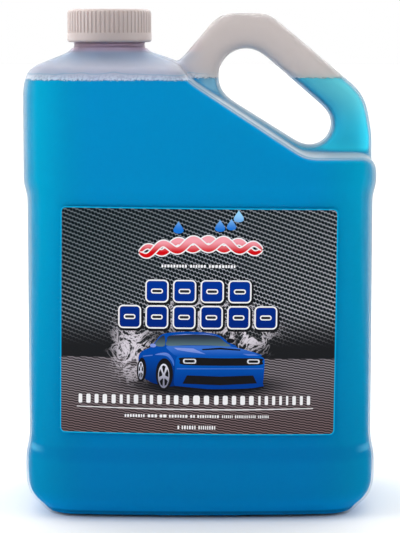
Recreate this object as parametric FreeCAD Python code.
import FreeCAD, Part
import math
import os

# One-gallon blow-moulded handle jug for car-detailing liquid, with its cap, liner, labels and contents.
# Frame: millimetres, +Z up, origin on the standing surface under the middle of the jug.
# +X points to the handle side, -X to the neck side, and the front label faces -Y.

Vector = FreeCAD.Vector

# ---- driving dimensions -------------------------------------------------------------------------
BODY_WIDTH = 171.8  # X, across the two bumper bands
BODY_DEPTH = 126.65  # Y, across the two bumper bands
PANEL_INSET = 1.8  # how far the label panel lies inside the bumpers
WALL = 1.0  # blown wall
FACE_BOW = 5.5  # rise of the front and back faces at their middle
SIDE_BOW = 1.6  # rise of the two sides at their middle
CORNER_RADIUS = 26.0  # upright corners

LOWER_BUMPER_TOP = 28.5
PANEL_BOTTOM = 37.0
PANEL_TOP = 155.0
UPPER_BUMPER_BOTTOM = 162.0

NECK_X = -45.0  # the neck stands off centre, away from the handle
NECK_BASE_Z = 224.9
NECK_RADIUS = 17.55
NECK_FLARE_RADIUS = 19.4
NECK_BORE_RADIUS = 15.6
RIM_Z = 242.6  # sealing rim at the mouth
SHOULDER_FRONT_SLOPE = math.radians(11.0)  # fall of the shoulder to the front and to the back
SHOULDER_LEFT = (-82.6, 216.4)  # x, z where the shoulder's left slope ends
VALLEY = (-9.5, 218.3)  # x, z of the dip between the neck and the handle
SHOULDER_ROUNDING = (205.0, 17.0, 12.0)  # start height, rise and reach
BASE_ROUNDING = (17.7, 15.0, 12.0)  # start height, fall and reach, cut short where it meets the foot
FOOT = ((0.0, 10.2), (0.9, 9.1), (2.0, 8.8), (2.5, 9.6))  # z and inset, with a fine groove on top

LEDGE_SLOPE = math.radians(33.3)  # the sloped ledge under the handle
LEDGE_TOP = (-4.8, 211.2)
LEDGE_Z = 174.9  # the level ledge under the handle's lower leg

HANDLE_HALF_DEPTH = 13.5
HANDLE_EDGE_RADIUS = 7.6
GRIP_UPPER = (22.9, 212.1, 14.05)  # x, z and radius of the finger hole's two round ends
GRIP_LOWER = (54.7, 188.6, 11.0)
HANDLE_TOP_Z = 243.6

BASE_RECESS_HALF = (60.0, 38.0)
BASE_RECESS_RADIUS = 16.0
BASE_RECESS_DEPTH = 3.0
BASE_RECESS_TAPER = 5.0

FILL_Z = 211.5
LIQUID_GAP = 0.1

THREAD_PITCH = 25.4 / 6.0
THREAD_TURNS = 1.25
NECK_THREAD_START_Z = 234.6
NECK_THREAD_RADIUS = 18.7

CAP_TOP_Z = 245.2
CAP_BOTTOM_Z = 228.9
CAP_RIB_RADIUS = 20.8
CAP_BAND_RADIUS = 21.0
CAP_BAND_TOP_Z = 233.6
CAP_INNER_RADIUS = 19.05
CAP_THREAD_RADIUS = 18.0
CAP_TOP_THICKNESS = 1.6
CAP_EDGE_RADIUS = 2.2
CAP_BAND_EDGE_RADIUS = 1.4
RIB_COUNT = 60
RIB_GROOVE_RADIUS = 0.62
RIB_GROOVE_DEPTH = 0.5

LINER_RADIUS = 18.6
LINER_RIM_GAP = 0.1

LABEL_WIDTH = 131.6
LABEL_HEIGHT = 108.8
LABEL_CENTRE_Z = 97.1
LABEL_THICKNESS = 0.2
LABEL_GAP = 0.03
LABEL_CORNER_RADIUS = 2.6
FRONT_LABEL_TILT = -0.6  # degrees: the front label is stuck on slightly askew
FRONT_LABEL_SHIFT = -0.8  # and a little towards the neck's side

FAR = 200.0  # longer than anything it cuts
SIGNS = ((-1, -1), (1, -1), (1, 1), (-1, 1))  # round a rectangle's corners


# ---- drawing helpers ----------------------------------------------------------------------------
def in_xz(a, b):
    return Vector(a, 0, b)


def in_yz(a, b):
    return Vector(0, a, b)


def rounded_outline(corners, place):
    """A closed wire through corners (a, b, radius), each rounded by its own radius."""
    count = len(corners)
    spans = []
    for i, (a, b, radius) in enumerate(corners):
        here = Vector(a, b, 0)
        to_last = (Vector(*corners[i - 1][:2], 0) - here).normalize()
        to_next = (Vector(*corners[(i + 1) % count][:2], 0) - here).normalize()
        if radius == 0:
            spans.append((here, here, here))
            continue
        half_angle = to_last.getAngle(to_next) / 2
        bisector = (to_last + to_next).normalize()
        centre = here + bisector * (radius / math.sin(half_angle))
        reach = radius / math.tan(half_angle)
        spans.append((here + to_last * reach, centre - bisector * radius, here + to_next * reach))
    edges = []
    for i, (start, middle, end) in enumerate(spans):
        if corners[i][2] > 0:
            arc = Part.Arc(*(place(p.x, p.y) for p in (start, middle, end)))
            edges.append(arc.toShape())
        following = spans[(i + 1) % count][0]
        if (following - end).Length > 1e-6:
            line = Part.LineSegment(place(end.x, end.y), place(following.x, following.y))
            edges.append(line.toShape())
    return Part.Wire(edges)


def revolved(points):
    """A solid of revolution about Z from (radius, z) points."""
    wire = Part.makePolygon([in_xz(r, z) for r, z in points] + [in_xz(*points[0])])
    return Part.Face(wire).revolve(Vector(), Vector(0, 0, 1), 360)


def cut_through(face, direction):
    """The face swept from far behind to far in front along a direction."""
    start = face.copy()
    start.translate(direction * -FAR)
    return start.extrude(direction * (2 * FAR))


def arc_radius(chord_half, rise):
    return (chord_half**2 + rise**2) / (2 * rise)


FACE_RADIUS = arc_radius(BODY_WIDTH / 2, FACE_BOW)
SIDE_RADIUS = arc_radius(BODY_DEPTH / 2, SIDE_BOW)


def body_section(inset, z):
    """The jug's bowed, round-cornered oblong, drawn inset from the bumpers' outline."""
    half_width = BODY_WIDTH / 2 - inset
    half_depth = BODY_DEPTH / 2 - inset
    face_radius = FACE_RADIUS - inset
    side_radius = SIDE_RADIUS - inset
    corner = CORNER_RADIUS - inset
    face_centre = face_radius - half_depth  # y of the front arc's centre
    side_centre = half_width - side_radius  # x of the right arc's centre
    # the corner circle touches the front arc and the right arc from inside
    to_face = face_radius - corner
    to_side = side_radius - corner
    gap = math.hypot(side_centre, face_centre)
    along = (to_face**2 - to_side**2 + gap**2) / (2 * gap)
    off = math.sqrt(to_face**2 - along**2)
    ux, uy = side_centre / gap, -face_centre / gap
    base_x, base_y = along * ux, face_centre + along * uy
    crossings = [(base_x - s * off * uy, base_y + s * off * ux) for s in (1, -1)]
    cx, cy = max(crossings, key=lambda c: c[0] - c[1])
    on_face_x = cx * face_radius / to_face
    on_face_y = face_centre + (cy - face_centre) * face_radius / to_face
    on_side_x = side_centre + (cx - side_centre) * side_radius / to_side
    on_side_y = cy * side_radius / to_side
    diagonal = Vector(on_face_x + on_side_x - 2 * cx, on_face_y + on_side_y - 2 * cy, 0)
    diagonal.normalize()
    tip_x, tip_y = cx + diagonal.x * corner, cy + diagonal.y * corner
    walk = []
    quarters = ((1, -1, False), (1, 1, True), (-1, 1, False), (-1, -1, True))
    for sx, sy, swap in quarters:
        pair = [(on_face_x * sx, -on_face_y * sy), (on_side_x * sx, -on_side_y * sy)]
        if swap:
            pair.reverse()
        walk.append((pair[0], (tip_x * sx, -tip_y * sy), pair[1]))
    flats = [(half_width, 0), (0, half_depth), (-half_width, 0), (0, -half_depth)]
    edges = []
    for i, (start, tip, end) in enumerate(walk):
        following = walk[(i + 1) % 4][0]
        edges.append(Part.Arc(Vector(*start, z), Vector(*tip, z), Vector(*end, z)).toShape())
        edges.append(Part.Arc(Vector(*end, z), Vector(*flats[i], z), Vector(*following, z)).toShape())
    return Part.Wire(edges)


# ---- the jug's outer shape, or the same shape a wall thickness further in -----------------------
def rounding(height, reach, last=90):
    """(distance from the start, inset) along a quarter ellipse that turns the wall inwards."""
    turns = [math.radians(a) for a in range(15, last + 1, 15)]
    return [(height * math.sin(a), reach * (1 - math.cos(a))) for a in turns]


def belted_body(inset):
    """Upright body: two bumper bands with the label panel between them, rounded in at both ends."""
    base_start, base_fall, base_reach = BASE_ROUNDING
    shoulder_start, shoulder_rise, shoulder_reach = SHOULDER_ROUNDING
    levels = list(FOOT)
    levels += [(base_start - down, extra) for down, extra in reversed(rounding(base_fall, base_reach, 75))]
    levels += [
        (base_start, 0),
        (LOWER_BUMPER_TOP, 0),
        (PANEL_BOTTOM, PANEL_INSET),
        (PANEL_TOP, PANEL_INSET),
        (UPPER_BUMPER_BOTTOM, 0),
        (shoulder_start, 0),
    ]
    levels += [(shoulder_start + up, extra) for up, extra in rounding(shoulder_rise, shoulder_reach)]
    levels.append((RIM_Z, shoulder_reach + 1))
    return Part.makeLoft([body_section(inset + extra, z) for z, extra in levels], True, True)


def front_outline():
    """The full-depth body seen from the front: base, shoulder, and the ledges under the handle."""
    half = BODY_WIDTH / 2
    ledge_end_x = LEDGE_TOP[0] + (LEDGE_TOP[1] - LEDGE_Z) / math.tan(LEDGE_SLOPE)
    corners = [
        (-half, 0, 0),
        (-half, SHOULDER_LEFT[1], 0),
        (*SHOULDER_LEFT, 0),
        (NECK_X - NECK_RADIUS, NECK_BASE_Z, 0),
        (NECK_X + NECK_RADIUS, NECK_BASE_Z, 0),
        (*VALLEY, 5.0),
        (*LEDGE_TOP, 7.0),
        (ledge_end_x, LEDGE_Z, 10.0),
        (half, LEDGE_Z, 8.0),
        (half, 0, 0),
    ]
    return Part.Face(rounded_outline(corners, in_xz))


def side_outline():
    """The full-depth body seen from the side, with the shoulder falling to front and back."""
    half = BODY_DEPTH / 2
    shoulder_z = NECK_BASE_Z - (half - NECK_RADIUS) * math.tan(SHOULDER_FRONT_SLOPE)
    corners = [
        (-half, 0, 0),
        (-half, shoulder_z, 0),
        (-NECK_RADIUS, NECK_BASE_Z, 0),
        (NECK_RADIUS, NECK_BASE_Z, 0),
        (half, shoulder_z, 0),
        (half, 0, 0),
    ]
    return Part.Face(rounded_outline(corners, in_yz))


def shrunk(face, inset):
    return face.makeOffset2D(-inset) if inset > 0 else face


def base_recess(grow):
    """The shallow push-up inside the standing ring, grown by a wall thickness for the inner face."""
    wires = []
    for z, shrink in ((-1.0, 0), (BASE_RECESS_DEPTH, BASE_RECESS_TAPER)):
        half_x, half_y = (h - shrink + grow for h in BASE_RECESS_HALF)
        radius = BASE_RECESS_RADIUS - shrink + grow
        corners = [(sx * half_x, sy * half_y, radius) for sx, sy in SIGNS]
        level = z + grow if z > 0 else z
        wires.append(rounded_outline(corners, lambda a, b, level=level: Vector(a, b, level)))
    return Part.makeLoft(wires, True, True)


def full_depth_body(inset):
    shape = belted_body(inset)
    shape = shape.common(cut_through(shrunk(front_outline(), inset), Vector(0, 1, 0)))
    shape = shape.common(cut_through(shrunk(side_outline(), inset), Vector(1, 0, 0)))
    return shape.cut(base_recess(inset))


def handle_outline():
    """The handle's outer line from the front. Its lower corners are buried in the body."""
    corners = [
        (-24.8, 202.0, 0),
        (10.4, HANDLE_TOP_Z, 16.0),
        (33.3, HANDLE_TOP_Z, 12.6),
        (82.0, 203.0, 22.0),
        (85.6, 183.0, 30.0),
        (85.3, 166.0, 0),
        (40.0, 164.0, 0),
    ]
    return Part.Face(rounded_outline(corners, in_xz))


def grip_hole(inset):
    """The finger hole: a slot between two circles, grown by the inset."""
    (x1, z1, r1), (x2, z2, r2) = GRIP_UPPER, GRIP_LOWER
    r1, r2 = r1 + inset, r2 + inset
    length = math.hypot(x2 - x1, z2 - z1)
    heading = math.atan2(z2 - z1, x2 - x1)
    lean = math.acos((r1 - r2) / length)  # from the centre line to each tangent point
    tangents = {}
    for side in (1, -1):
        angle = heading + side * lean
        unit = in_xz(math.cos(angle), math.sin(angle))
        tangents[side] = (in_xz(x1, z1) + unit * r1, in_xz(x2, z2) + unit * r2)
    along = in_xz(math.cos(heading), math.sin(heading))
    edges = [
        Part.LineSegment(tangents[1][0], tangents[1][1]).toShape(),
        Part.Arc(tangents[1][1], in_xz(x2, z2) + along * r2, tangents[-1][1]).toShape(),
        Part.LineSegment(tangents[-1][1], tangents[-1][0]).toShape(),
        Part.Arc(tangents[-1][0], in_xz(x1, z1) - along * r1, tangents[1][0]).toShape(),
    ]
    return Part.Face(Part.Wire(edges))


def handle(inset):
    """Hollow grip loop: a flat plate with its outer edge and its finger hole rounded over."""
    half_depth = HANDLE_HALF_DEPTH - inset
    outline = shrunk(handle_outline(), inset).cut(grip_hole(inset))
    outline.translate(Vector(0, -half_depth, 0))
    plate = outline.extrude(Vector(0, 2 * half_depth, 0))
    rims = [e for e in plate.Edges if abs(abs(e.CenterOfMass.y) - half_depth) < 1e-3]
    free = [e for e in rims if above_body(e)]
    return plate.makeFillet(HANDLE_EDGE_RADIUS - inset, free)


def above_body(edge):
    """True for the handle's free edges, false for the ones buried in the body."""
    return edge.BoundBox.ZMax > 204.0 or edge.BoundBox.ZMin > LEDGE_Z


def neck(inset):
    """Neck with its flare, or its bore when inset by a wall thickness."""
    if inset > 0:
        radius, flare, top = NECK_BORE_RADIUS, NECK_FLARE_RADIUS - WALL, RIM_Z + 5
    else:
        radius, flare, top = NECK_RADIUS, NECK_FLARE_RADIUS, RIM_Z
    flare_z = NECK_BASE_Z - 0.7 - inset
    points = [(0, 207), (flare, 207), (flare, flare_z)]
    points += [(radius, flare_z + 2.0), (radius, top), (0, top)]
    solid = revolved(points)
    solid.translate(Vector(NECK_X, 0, 0))
    return solid


def jug_volume(inset):
    return full_depth_body(inset).fuse(handle(inset)).fuse(neck(inset)).removeSplitter()


# ---- threads ------------------------------------------------------------------------------------
def thread(root_radius, crest_radius, root_width, crest_width, start_z):
    """One helical thread ridge about the neck's axis."""
    helix = Part.makeHelix(THREAD_PITCH, THREAD_PITCH * THREAD_TURNS, root_radius)
    profile = Part.makePolygon(
        [
            in_xz(root_radius, -root_width / 2),
            in_xz(crest_radius, -crest_width / 2),
            in_xz(crest_radius, crest_width / 2),
            in_xz(root_radius, root_width / 2),
            in_xz(root_radius, -root_width / 2),
        ]
    )
    ridge = Part.Wire(helix).makePipeShell([profile], True, True)
    ridge.translate(Vector(NECK_X, 0, start_z))
    return ridge


# ---- the separate pieces ------------------------------------------------------------------------
def make_jug():
    shell = jug_volume(0).cut(jug_volume(WALL))
    bite = 0.3  # the ridge's root is sunk this far into the neck
    neck_thread = thread(NECK_RADIUS - bite, NECK_THREAD_RADIUS, 2.4, 1.0, NECK_THREAD_START_Z)
    return shell.fuse(neck_thread)


def make_liquid():
    below_fill = Part.makeBox(2 * FAR, 2 * FAR, FILL_Z, Vector(-FAR, -FAR, 0))
    return jug_volume(WALL + LIQUID_GAP).common(below_fill)


def make_cap():
    outer = Part.makeCylinder(CAP_RIB_RADIUS, CAP_TOP_Z - CAP_BOTTOM_Z, Vector(NECK_X, 0, CAP_BOTTOM_Z))
    top_edge = [e for e in outer.Edges if e.BoundBox.ZMin > CAP_TOP_Z - 0.1]
    outer = outer.makeFillet(CAP_EDGE_RADIUS, top_edge)
    groove_height = CAP_TOP_Z - CAP_BAND_TOP_Z
    groove_centre = CAP_RIB_RADIUS + RIB_GROOVE_RADIUS - RIB_GROOVE_DEPTH
    grooves = []
    for i in range(RIB_COUNT):
        angle = 2 * math.pi * (i + 0.5) / RIB_COUNT
        x = NECK_X + groove_centre * math.cos(angle)
        y = groove_centre * math.sin(angle)
        grooves.append(Part.makeCylinder(RIB_GROOVE_RADIUS, groove_height, Vector(x, y, CAP_BAND_TOP_Z)))
    outer = outer.cut(Part.makeCompound(grooves))
    band = Part.makeCylinder(CAP_BAND_RADIUS, CAP_BAND_TOP_Z - CAP_BOTTOM_Z, Vector(NECK_X, 0, CAP_BOTTOM_Z))
    foot_edge = [e for e in band.Edges if e.BoundBox.ZMax < CAP_BOTTOM_Z + 0.1]
    band = band.makeFillet(CAP_BAND_EDGE_RADIUS, foot_edge)
    inner_height = CAP_TOP_Z - CAP_TOP_THICKNESS - CAP_BOTTOM_Z + 1
    inner = Part.makeCylinder(CAP_INNER_RADIUS, inner_height, Vector(NECK_X, 0, CAP_BOTTOM_Z - 1))
    above_band = Part.makeCylinder(CAP_RIB_RADIUS + 1, groove_height, Vector(NECK_X, 0, CAP_BAND_TOP_Z))
    shell = outer.common(above_band).fuse(band).cut(inner)
    bite = 0.3
    start = NECK_THREAD_START_Z - THREAD_PITCH / 2
    return shell.fuse(thread(CAP_INNER_RADIUS + bite, CAP_THREAD_RADIUS, 1.8, 0.8, start))


def make_liner():
    bottom = RIM_Z + LINER_RIM_GAP
    height = CAP_TOP_Z - CAP_TOP_THICKNESS - bottom
    return Part.makeCylinder(LINER_RADIUS, height, Vector(NECK_X, 0, bottom))


def make_label(tilt, shift):
    """A film on the bowed front panel, with rounded corners."""
    inner = FACE_RADIUS - PANEL_INSET + LABEL_GAP
    axis_y = FACE_RADIUS - BODY_DEPTH / 2
    low_end = Vector(0, axis_y, LABEL_CENTRE_Z - LABEL_HEIGHT)
    outside = Part.makeCylinder(inner + LABEL_THICKNESS, 2 * LABEL_HEIGHT, low_end)
    sheet = outside.cut(Part.makeCylinder(inner, 2 * LABEL_HEIGHT, low_end))
    half_x, half_z = LABEL_WIDTH / 2, LABEL_HEIGHT / 2
    corners = [(sx * half_x, sz * half_z, LABEL_CORNER_RADIUS) for sx, sz in SIGNS]
    cutter = Part.Face(rounded_outline(corners, in_xz))
    cutter.rotate(Vector(), Vector(0, 1, 0), -tilt)
    cutter.translate(Vector(shift, -BODY_DEPTH, LABEL_CENTRE_Z))
    return sheet.common(cutter.extrude(Vector(0, BODY_DEPTH, 0)))


def make_front_label():
    return make_label(FRONT_LABEL_TILT, FRONT_LABEL_SHIFT)


def make_back_label():
    return make_label(0, 0).rotate(Vector(), Vector(0, 0, 1), 180)


PIECES = {
    "jug": make_jug,
    "liquid": make_liquid,
    "cap": make_cap,
    "cap_liner": make_liner,
    "front_label": make_front_label,
    "back_label": make_back_label,
}


def main():
    os.makedirs("parts", exist_ok=True)
    for name, make in PIECES.items():
        shape = make()
        solids = shape.Solids
        volume = round(shape.Volume / 1000, 3)
        print(name, "solids", len(solids), "valid", shape.isValid(), "volume", volume, "cm3")
        whole = solids[0] if len(solids) == 1 else Part.makeCompound(solids)
        whole.exportStep(f"parts/{name}.step")


main()
